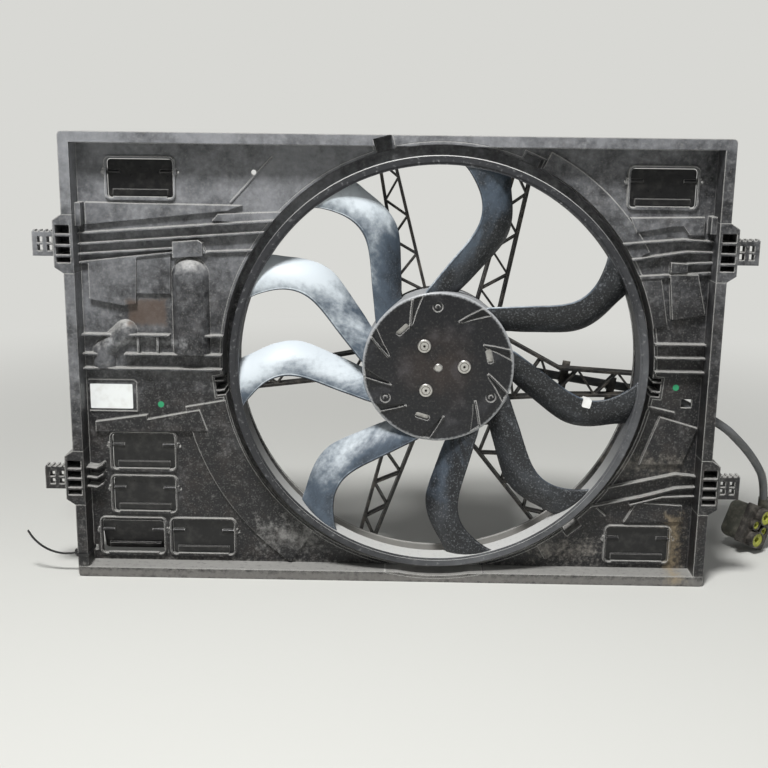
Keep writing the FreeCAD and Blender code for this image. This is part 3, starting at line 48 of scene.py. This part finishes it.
# ---------------------------------------------------------------- camera
EYE = (0.0049, -1.1053, 0.4597)
EYE_TURN = (77.251, -0.706, 0.864)  # degrees
LENS_MM = 52.04
SENSOR_MM = 36.0


def make_camera():
    """Eye level just above the top edge, looking slightly down on the radiator side."""
    data = bpy.data.cameras.new("camera")
    data.sensor_width = SENSOR_MM
    data.lens = LENS_MM
    camera = bpy.data.objects.new("camera", data)
    camera.location = EYE
    camera.rotation_euler = [math.radians(angle) for angle in EYE_TURN]
    scene.collection.objects.link(camera)
    scene.camera = camera


make_camera()


# ---------------------------------------------------------------- free cable
CABLE_ROUTE = ((0.3255, 0.0202, 0.1766), (0.3460, 0.0210, 0.1654), (0.3635, 0.0322, 0.1498),
               (0.3850, 0.0572, 0.1288), (0.4045, 0.0837, 0.1068), (0.4211, 0.1028, 0.0836),
               (0.4250, 0.1094, 0.0585))
CABLE_DIAMETER = 0.009


def make_cable():
    """Sleeved motor lead from the edge clip down to the plug's boot."""
    curve = bpy.data.curves.new("motor_cable", "CURVE")
    curve.dimensions = "3D"
    curve.bevel_depth = 1.0  # multiplied by the radius of each point
    curve.bevel_resolution = 5
    curve.resolution_u = 16
    curve.use_fill_caps = True
    spline = curve.splines.new("NURBS")
    spline.points.add(len(CABLE_ROUTE) - 1)
    for point, place in zip(spline.points, CABLE_ROUTE):
        point.co = (*place, 1.0)
        point.radius = CABLE_DIAMETER / 2
    spline.order_u = 3
    spline.use_endpoint_u = True
    cable = bpy.data.objects.new("motor_cable", curve)
    scene.collection.objects.link(cable)
    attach(cable, "shroud")
    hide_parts("free_cable")
    return cable


cable = make_cable()


# ---------------------------------------------------------------- materials
def linear(code):
    """sRGB hex colour as linear numbers."""
    values = [int(code[i:i + 2], 16) / 255 for i in (1, 3, 5)]
    return [v / 12.92 if v <= 0.04045 else ((v + 0.055) / 1.055) ** 2.4 for v in values] + [1.0]


def node(tree, kind, out=0, settings=None, **links):
    """Adds a node and hands back one of its outputs, or the node itself. settings are its own
    properties; links go to its inputs by name or, after an i, by number: a value or a socket."""
    made = tree.nodes.new(kind)
    for key, value in (settings or {}).items():
        setattr(made, key, value)
    for key, value in links.items():
        name = key.replace("_", " ")
        socket = made.inputs[int(key[1:])] if key[1:].isdigit() else made.inputs[name]
        if isinstance(value, bpy.types.NodeSocket):
            tree.links.new(value, socket)
        else:
            socket.default_value = value
    return made if out is None else made.outputs[out]


SMOOTH = {"interpolation_type": "SMOOTHSTEP"}
COLOURS = {"data_type": "RGBA"}
TIMES = {"operation": "MULTIPLY"}
PLUS = {"operation": "ADD"}
MINUS = {"operation": "SUBTRACT"}
TIMES_PLUS = {"operation": "MULTIPLY_ADD"}
DOT = {"operation": "DOT_PRODUCT"}
LENGTH = {"operation": "LENGTH"}
GRAIN = {"Detail": 5.0, "Roughness": 0.6}


def start(name):
    """New material: its tree, its shader and the object's own coordinates."""
    material = bpy.data.materials.new(name)
    material.use_nodes = True
    tree = material.node_tree
    tree.nodes.clear()
    shader = node(tree, "ShaderNodeBsdfPrincipled", None)
    node(tree, "ShaderNodeOutputMaterial", None, Surface=shader.outputs["BSDF"])
    return material, tree, shader, node(tree, "ShaderNodeTexCoord", "Object")


def cover(tree, colour, share, strength, low, high, top):
    """Lays a colour over another where share rises from low to high, up to strength."""
    share = node(tree, "ShaderNodeMapRange", 0, SMOOTH, Value=share, From_Min=low, From_Max=high,
                 To_Max=strength)
    under = linear(colour) if isinstance(colour, str) else colour
    return node(tree, "ShaderNodeMix", 2, COLOURS, i0=share, i6=under, i7=linear(top))


def edges(tree, normal, reach_mm):
    """Signed mask: 0 on flats, above 0 on edges that lean up or forward towards the key light, below 0 on
    those that lean down. Callers paint it as rub wear plus painted highlight above 0 and as painted shade
    below 0."""
    rounded = node(tree, "ShaderNodeBevel", 0, {"samples": 4}, Radius=reach_mm * MM)
    lean = node(tree, "ShaderNodeVectorMath", 1, DOT, i0=rounded, i1=normal)
    lean = node(tree, "ShaderNodeMath", 0, MINUS, i0=1.0, i1=lean)
    rise = node(tree, "ShaderNodeVectorMath", 1, DOT, i0=rounded, i1=(-0.3, -0.6, 0.8))
    return node(tree, "ShaderNodeMath", 0, TIMES, i0=lean, i1=rise)


def surface(tree, shader, colour, share, rough_low, rough_high, height, depth_mm):
    """Links the colour, a roughness that follows share, and fine relief."""
    rough = node(tree, "ShaderNodeMapRange", Value=share, From_Min=0.3, From_Max=0.7, To_Min=rough_low,
                 To_Max=rough_high)
    relief = node(tree, "ShaderNodeBump", Height=height, Distance=depth_mm * MM, Strength=0.5)
    for value, name in ((colour, "Base Color"), (rough, "Roughness"), (relief, "Normal")):
        tree.links.new(value, shader.inputs[name])


def across(tree, place, centre):
    """Runs to a place from the axis along Y through a centre, square to that axis."""
    away = node(tree, "ShaderNodeVectorMath", 0, MINUS, i0=place, i1=centre)
    return node(tree, "ShaderNodeVectorMath", 0, TIMES, i0=away, i1=(1.0, 0.0, 1.0))


def patch(tree, place, centre, half):
    """Distance in metres from the sides of an upright rectangle on the panel, above 0 inside it."""
    away = node(tree, "ShaderNodeVectorMath", 0, MINUS, i0=place, i1=centre)
    away = node(tree, "ShaderNodeVectorMath", 0, {"operation": "ABSOLUTE"}, i0=away)
    away = node(tree, "ShaderNodeVectorMath", 0, MINUS, i0=half, i1=away)
    sides = node(tree, "ShaderNodeSeparateXYZ", None, Vector=away)
    return node(tree, "ShaderNodeMath", 0, {"operation": "MINIMUM"}, i0=sides.outputs["X"],
                i1=sides.outputs["Z"])


# Dirt that lies in places on the panel: middle, half size, width of its ragged edge, strength, colour.
POWDER = (
    ((-0.251, 0.0, 0.2785), (0.020, 1.0, 0.0140), 0.012, 0.75, "#594a40"),
    ((0.000, 0.0, 0.0040), (0.340, 1.0, 0.0080), 0.022, 0.65, "#85837f"),
    ((-0.105, 0.0, 0.0400), (0.030, 1.0, 0.0120), 0.090, 0.60, "#a2a19e"),
    ((0.185, 0.0, 0.0300), (0.030, 1.0, 0.0060), 0.070, 0.60, "#a9a39a"),
    ((0.298, 0.0, 0.0350), (0.008, 1.0, 0.0350), 0.035, 0.60, "#a08f72"),
    ((0.250, 0.0, 0.1250), (0.050, 1.0, 0.0080), 0.070, 0.35, "#9b9488"),
    ((-0.251, 0.0, 0.2480), (0.040, 1.0, 0.0040), 0.030, 0.60, "#a6a7a8"),
)


def panel_plastic():
    """Glass-filled polypropylene, injection moulded: satin charcoal with chalky dust on what faces
    up and towards the top, brown dirt in places, tan mud low on the right, rib edges paled on top by rub
    wear plus painted highlight and painted near black below as painted shade."""
    material, tree, shader, place = start("moulded_polypropylene_dusty")
    normal = node(tree, "ShaderNodeNewGeometry", "Normal")
    cloud = node(tree, "ShaderNodeTexNoise", Vector=place, Scale=PER_MM / 90, **GRAIN)
    blotch = node(tree, "ShaderNodeTexNoise", Vector=place, Scale=PER_MM / 17, **GRAIN)
    fine = node(tree, "ShaderNodeTexNoise", Vector=place, Scale=PER_MM / 5, **GRAIN)
    # specks of dust are drawn at 1.8 mm, coarser than they are, so that they show
    speck = node(tree, "ShaderNodeTexNoise", Vector=place, Scale=PER_MM / 1.8, **GRAIN)
    colour = cover(tree, "#1a1a1c", blotch, 0.8, 0.45, 0.70, "#302c2a")
    # chalky dust, more towards the top left
    dust = node(tree, "ShaderNodeVectorMath", 1, DOT, i0=place, i1=(-0.35, 0.0, 1.7))
    dust = node(tree, "ShaderNodeMath", 0, PLUS, i0=dust, i1=cloud)
    dust = node(tree, "ShaderNodeMath", 0, TIMES_PLUS, i0=blotch, i1=0.6, i2=dust)
    dust = node(tree, "ShaderNodeMath", 0, TIMES_PLUS, i0=fine, i1=0.5, i2=dust)
    colour = cover(tree, colour, dust, 0.85, 1.30, 2.15, "#94969a")
    # dust that lies on ledges, rib tops and the bottom wall
    lying = node(tree, "ShaderNodeVectorMath", 1, DOT, i0=normal, i1=(0.0, -0.12, 1.0))
    lying = node(tree, "ShaderNodeMath", 0, TIMES_PLUS, i0=fine, i1=1.6, i2=lying)
    colour = cover(tree, colour, lying, 0.9, 0.95, 2.00, "#acaba7")
    # paler rear lip of the tunnel, low down
    deep = node(tree, "ShaderNodeVectorMath", 1, DOT, i0=place, i1=(0.0, 20.0, -3.0))
    colour = cover(tree, colour, deep, 0.8, 0.40, 0.75, "#a5a39e")
    colour = cover(tree, colour, speck, 0.35, 0.54, 0.68, "#8f8d89")
    for centre, half, reach, strength, dirt in POWDER:
        share = patch(tree, place, centre, half)
        share = node(tree, "ShaderNodeMath", 0, TIMES_PLUS, i0=fine, i1=reach, i2=share)
        colour = cover(tree, colour, share, strength, reach * 0.35, reach * 0.85, dirt)
    # green paint dots, 3 mm in radius
    for dot in PAINT_DOTS:
        away = node(tree, "ShaderNodeVectorMath", "Value", {"operation": "DISTANCE"}, i0=place, i1=dot)
        colour = cover(tree, colour, away, 1.0, 0.0036, 0.0028, "#2f9a6a")
    # upper edges paled by rub wear plus painted highlight, lower edges painted near black as painted shade
    wear_and_painted_light = edges(tree, normal, 2.0)
    colour = cover(tree, colour, wear_and_painted_light, 0.95, 0.02, 0.14, "#c6c5c1")
    colour = cover(tree, colour, wear_and_painted_light, 0.9, -0.01, -0.06, "#060607")
    surface(tree, shader, colour, blotch, 0.36, 0.62, fine, 0.10)
    return material


def blade_plastic():
    """Moulded nylon: near black with fine specks, under a slate and white film of road dust that the
    air flow drew out along the blades, thickest on the upper left ones and on what faces up."""
    material, tree, shader, place = start("moulded_nylon_blades")
    normal = node(tree, "ShaderNodeNewGeometry", "Normal")
    flat = across(tree, place, FAN_CENTRE)
    radius = node(tree, "ShaderNodeVectorMath", "Value", LENGTH, i0=flat)
    # streaks about 65 mm long and a seventh of a radian wide, run out from the shaft
    spoke = node(tree, "ShaderNodeVectorMath", 0, {"operation": "NORMALIZE"}, i0=flat)
    drawn = node(tree, "ShaderNodeCombineXYZ", Y=node(tree, "ShaderNodeMath", 0, TIMES, i0=radius, i1=2.2))
    drawn = node(tree, "ShaderNodeVectorMath", 0, PLUS, i0=spoke, i1=drawn)
    streak = node(tree, "ShaderNodeTexNoise", Vector=drawn, Scale=7.0, **GRAIN)
    cloud = node(tree, "ShaderNodeTexNoise", Vector=place, Scale=PER_MM / 34, **GRAIN)
    fine = node(tree, "ShaderNodeTexNoise", Vector=place, Scale=PER_MM / 5, **GRAIN)
    # specks of dust are drawn at 2 mm, coarser than they are, so that they show
    speck = node(tree, "ShaderNodeTexNoise", Vector=place, Scale=PER_MM / 2, **GRAIN)
    film = node(tree, "ShaderNodeVectorMath", 1, DOT, i0=flat, i1=(-5.0, 0.0, 3.6))
    up = node(tree, "ShaderNodeVectorMath", 1, DOT, i0=normal, i1=(-0.1, -0.25, 0.75))
    for share, pull in ((up, 2.2), (streak, 1.8), (cloud, 1.4), (fine, 0.7)):
        film = node(tree, "ShaderNodeMath", 0, TIMES_PLUS, i0=share, i1=pull, i2=film)
    colour = cover(tree, "#1b1d20", streak, 0.5, 0.45, 0.75, "#4c5056")
    colour = cover(tree, colour, speck, 0.35, 0.52, 0.68, "#9a9ea2")
    colour = cover(tree, colour, film, 0.9, 2.10, 3.10, "#4e5a67")
    colour = cover(tree, colour, film, 0.95, 2.95, 4.15, "#d0d8dd")
    # upper edges paled by rub wear plus painted highlight, lower edges painted dark as painted shade
    wear_and_painted_light = edges(tree, normal, 1.4)
    colour = cover(tree, colour, wear_and_painted_light, 0.75, 0.02, 0.12, "#c3c6ca")
    colour = cover(tree, colour, wear_and_painted_light, 0.8, -0.01, -0.10, "#15181c")
    surface(tree, shader, colour, fine, 0.34, 0.58, fine, 0.08)
    return material


def band_plastic():
    """Moulded nylon of the fan's outer band: dusty charcoal, whitish where it faces up."""
    material, tree, shader, place = start("moulded_nylon_band")
    normal = node(tree, "ShaderNodeNewGeometry", "Normal")
    cloud = node(tree, "ShaderNodeTexNoise", Vector=place, Scale=PER_MM / 60, **GRAIN)
    fine = node(tree, "ShaderNodeTexNoise", Vector=place, Scale=PER_MM / 4, **GRAIN)
    low_right = node(tree, "ShaderNodeVectorMath", 1, DOT, i0=place, i1=(1.2, 0.0, -1.2))
    dust = node(tree, "ShaderNodeMath", 0, PLUS, i0=low_right, i1=cloud)
    colour = cover(tree, "#2b2c2f", dust, 0.7, 0.25, 0.95, "#7b7d80")
    up = node(tree, "ShaderNodeVectorMath", 1, DOT, i0=normal, i1=(0.0, 0.0, 1.0))
    colour = cover(tree, colour, up, 0.9, 0.25, 0.9, "#d3d3d0")
    colour = cover(tree, colour, fine, 0.4, 0.55, 0.72, "#9a9b9c")
    surface(tree, shader, colour, fine, 0.42, 0.62, fine, 0.08)
    return material


def hub_plastic():
    """Moulded nylon of the hub: near black, pale round its edge, its curved ribs paled on top by rub wear
    plus painted highlight and painted near black below as painted shade, with brown dirt towards the
    middle."""
    material, tree, shader, place = start("moulded_nylon_hub")
    normal = node(tree, "ShaderNodeNewGeometry", "Normal")
    flat = across(tree, place, FAN_CENTRE)
    radius = node(tree, "ShaderNodeVectorMath", "Value", LENGTH, i0=flat)
    blotch = node(tree, "ShaderNodeTexNoise", Vector=place, Scale=PER_MM / 26, **GRAIN)
    fine = node(tree, "ShaderNodeTexNoise", Vector=place, Scale=PER_MM / 2.5, **GRAIN)
    # rust-brown dirt that fades away from the shaft
    brown = node(tree, "ShaderNodeMath", 0, TIMES_PLUS, i0=radius, i1=-9.0, i2=blotch)
    colour = cover(tree, "#131418", brown, 0.6, 0.05, 0.50, "#3a302b")
    colour = cover(tree, colour, blotch, 0.35, 0.50, 0.75, "#55555a")
    colour = cover(tree, colour, fine, 0.22, 0.50, 0.72, "#77746f")
    # pale ring along the hub's outer edge
    rim = node(tree, "ShaderNodeMath", 0, TIMES_PLUS, i0=fine, i1=0.004, i2=radius)
    colour = cover(tree, colour, rim, 0.8, 0.0755, 0.0785, "#b9bbbd")
    # rib edges: rub wear plus painted highlight on upper edges, painted shade on lower edges
    wear_and_painted_light = edges(tree, normal, 1.5)
    colour = cover(tree, colour, wear_and_painted_light, 0.95, 0.01, 0.08, "#c9c8c5")
    colour = cover(tree, colour, wear_and_painted_light, 0.8, -0.01, -0.10, "#08080a")
    surface(tree, shader, colour, blotch, 0.24, 0.44, fine, 0.08)
    return material


def screw_steel():
    """Zinc plated heads of the three fan screws, with painted shade for a socket in the middle (a dark dot)
    and a turned groove (a darker ring).
    """
    material, tree, shader, place = start("zinc_plated_screw_heads")
    fine = node(tree, "ShaderNodeTexNoise", Vector=place, Scale=PER_MM / 2, **GRAIN)
    colour = cover(tree, "#dbd9d4", fine, 0.5, 0.45, 0.70, "#a19d96")
    # painted shade: a dark socket 1.3 mm in radius, a darker groove ring at 4.3 mm
    for centre in SCREW_PLACES:
        away = node(tree, "ShaderNodeVectorMath", "Value", LENGTH, i0=across(tree, place, centre))
        colour = cover(tree, colour, away, 1.0, 0.0016, 0.0010, "#2e2a27")
        groove = node(tree, "ShaderNodeMath", 0, {"operation": "COMPARE"}, i0=away, i1=0.0043, i2=0.0004)
        colour = cover(tree, colour, groove, 0.8, 0.0, 1.0, "#5d5953")
    shader.inputs["Metallic"].default_value = 1.0
    surface(tree, shader, colour, fine, 0.32, 0.48, fine, 0.05)
    return material


def plain(name, colour, dirt, roughness, metallic=0.0, grain_mm=3.0, strength=0.6, depth_mm=0.05, wear_and_painted_light=0.0):
    """A finish of one material whose dirt follows a blotchy noise."""
    material, tree, shader, place = start(name)
    blotch = node(tree, "ShaderNodeTexNoise", Vector=place, Scale=PER_MM / 9, **GRAIN)
    fine = node(tree, "ShaderNodeTexNoise", Vector=place, Scale=PER_MM / grain_mm, **GRAIN)
    colour = cover(tree, colour, blotch, strength, 0.42, 0.75, dirt)
    # upper edges paled by rub wear plus painted highlight
    if wear_and_painted_light:
        normal = node(tree, "ShaderNodeNewGeometry", "Normal")
        colour = cover(tree, colour, edges(tree, normal, 1.2), wear_and_painted_light, 0.02, 0.10, "#b9b8b5")
    shader.inputs["Metallic"].default_value = metallic
    surface(tree, shader, colour, fine, roughness - 0.08, roughness + 0.08, fine, depth_mm)
    return material


finish = {
    "panel": panel_plastic(),
    "blades": blade_plastic(),
    "band": band_plastic(),
    "hub": hub_plastic(),
    # smooth moulded flap: near black, satin, its pins and bead paled along their upper edges by rub wear
    # plus painted highlight
    "flap": plain("moulded_polypropylene_flap", "#121213", "#3b3a38", 0.34, wear_and_painted_light=0.6),
    # glass-filled moulding: dull black with brown-grey road dirt, upper edges paled a little by rub wear
    # plus painted highlight
    "carrier": plain("glass_filled_nylon_lattice", "#242323", "#6d665c", 0.5, wear_and_painted_light=0.25),
    # bare die casting: even light grey with a soft metal sheen and dull stains
    "casting": plain("die_cast_aluminium", "#a3a4a5", "#7c7a75", 0.5, 1.0),
    # zinc plating and bright steel: pale, quite sharp reflections
    "screws": screw_steel(),
    "steel": plain("zinc_plated_steel", "#d2d0cc", "#8d8a85", 0.36, 1.0),
    # parts inside the motor: dark pressed sheet, dull black ferrite, red-brown varnished wire
    "laminate": plain("laminated_steel", "#5b5b5d", "#3f3f40", 0.5, 1.0),
    "ferrite": plain("sintered_ferrite", "#3c3c3e", "#2c2c2d", 0.6),
    "copper": plain("enamelled_copper", "#b4643a", "#8a4a2a", 0.35, 1.0),
    # lacquered green board, glossy
    "board": plain("lacquered_circuit_board", "#1f5a3c", "#17452e", 0.3),
    # woven sleeve: dull grey, its threads drawn at 1.4 mm so that they show
    "sleeve": plain("woven_cable_sleeve", "#6a6c6e", "#85827b", 0.75, grain_mm=1.4, depth_mm=0.25),
    # dirty plug mouldings with greenish yellow silicone seals, dulled by dust
    "plug": plain("moulded_nylon_plug", "#33302d", "#77726a", 0.5, strength=0.85),
    "cap": plain("moulded_plug_cap", "#4b4b43", "#7d7a6d", 0.55, strength=0.85),
    "seal": plain("silicone_seal", "#b4b84e", "#7c7f42", 0.5, strength=0.8),
    # soft black rubber and a smooth black nylon tie
    "grommet": plain("black_rubber", "#1b1b1b", "#383735", 0.7),
    "tie": plain("nylon_tie", "#1d1d1e", "#3a3a3a", 0.4),
    # bare white film with a faint stain, and a clean white clip
    "label": plain("bare_polyester_label", "#eef1f0", "#d8d9d5", 0.35),
    "clip": plain("white_nylon_clip", "#f0f0ee", "#d5d4ce", 0.45),
}

WEARS = {
    "panel": ("shroud_panel", "shroud_rim", "fan_tunnel", "side_clips"),
    "flap": tuple(name for name in nodes if name.startswith("flap_")),
    "carrier": ("carrier_ring", "carrier_struts"),
    "blades": tuple(name for name in nodes if name.startswith("fan_blade_")),
    "band": ("fan_band",),
    "hub": ("fan_hub",),
    "casting": ("motor_base", "electronics_cover"),
    "screws": ("fan_screws",),
    "steel": ("mount_screws", "cover_screws", "motor_shaft", "rotor_can", "bearing_front",
              "bearing_rear"),
    "laminate": ("stator_core",),
    "ferrite": ("magnet_ring",),
    "copper": ("stator_coils",),
    "board": ("control_board",),
    "sleeve": ("motor_lead",),
    "plug": ("plug_housing", "lead_clips", "edge_clip"),
    "cap": ("plug_cover",),
    "seal": ("plug_seals",),
    "grommet": ("lead_grommet",),
    "tie": ("cable_tie",),
    "label": ("label_sticker",),
    "clip": ("balance_clip",),
}


def wear(piece, material):
    """Gives a piece one finish."""
    piece.data.materials.clear()
    piece.data.materials.append(material)


for kind, names in WEARS.items():
    for name in names:
        wear(nodes[name], finish[kind])
wear(cable, finish["sleeve"])


# ---------------------------------------------------------------- floor and light
FLOOR_HALF = 30.0
WALL_Y = 5.8
WALL_HEIGHT = 4.0
FOLD = 1.6
FADE_FROM, FADE_TO = 0.35, 1.7  # metres from the origin
LAMP_AIM = (0.0, 0.0, 0.2)


def make_stage():
    """Plain pale floor that sweeps up far behind the object."""
    mesh = bmesh.new()
    bmesh.ops.create_grid(mesh, x_segments=1, y_segments=1, size=FLOOR_HALF)
    back = [e for e in mesh.edges if all(v.co.y > FLOOR_HALF - 0.1 for v in e.verts)]
    for v in back[0].verts:
        v.co.y = WALL_Y
    lifted = bmesh.ops.extrude_edge_only(mesh, edges=back)["geom"]
    for v in (g for g in lifted if isinstance(g, bmesh.types.BMVert)):
        v.co.z += WALL_HEIGHT
    fold = [e for e in mesh.edges if all(abs(v.co.y - WALL_Y) < 1e-6 and v.co.z < 1e-6 for v in e.verts)]
    bmesh.ops.bevel(mesh, geom=fold, offset=FOLD, offset_type="OFFSET", segments=16, profile=0.5,
                    affect="EDGES", material=-1)
    data = bpy.data.meshes.new("floor")
    mesh.to_mesh(data)
    mesh.free()
    for face in data.polygons:
        face.use_smooth = True
    floor = bpy.data.objects.new("floor", data)
    scene.collection.objects.link(floor)
    wear(floor, floor_paint())


def floor_paint():
    """Matt pale paint. Away from the object the camera sees it as even pale grey, which lights nothing."""
    material, tree, shader, place = start("painted_floor")
    shader.inputs["Base Color"].default_value = linear("#d0d0cb")
    shader.inputs["Roughness"].default_value = 0.8
    away = node(tree, "ShaderNodeVectorMath", "Value", LENGTH, i0=place)
    away = node(tree, "ShaderNodeMapRange", 0, SMOOTH, Value=away, From_Min=FADE_FROM, From_Max=FADE_TO)
    seen = node(tree, "ShaderNodeLightPath", "Is Camera Ray")
    share = node(tree, "ShaderNodeMath", 0, TIMES, i0=away, i1=seen)
    glow = node(tree, "ShaderNodeEmission", Color=linear("#d8d8d4"), Strength=1.0)
    mixed = node(tree, "ShaderNodeMixShader", i0=share, i1=shader.outputs["BSDF"], i2=glow)
    tree.links.new(mixed, tree.nodes["Material Output"].inputs["Surface"])
    return material


def lamp(name, place, size, watts):
    """Round soft lamp that points at the middle of the panel."""
    data = bpy.data.lights.new(name, "AREA")
    data.shape = "DISK"
    data.size = size
    data.energy = watts
    light = bpy.data.objects.new(name, data)
    light.location = place
    light.rotation_euler = (Vector(LAMP_AIM) - Vector(place)).to_track_quat("-Z", "Y").to_euler()
    scene.collection.objects.link(light)


make_stage()
lamp("key_light", (-0.30, -1.10, 2.15), 0.5, 64.0)
lamp("fill_light", (1.5, -1.7, 1.5), 1.8, 5.0)
world = bpy.data.worlds.new("studio")
world.use_nodes = True
sky = world.node_tree.nodes["Background"]
sky.inputs["Color"].default_value = linear("#f1f2f3")
sky.inputs["Strength"].default_value = 0.19
scene.world = world
scene.view_settings.view_transform = "Standard"
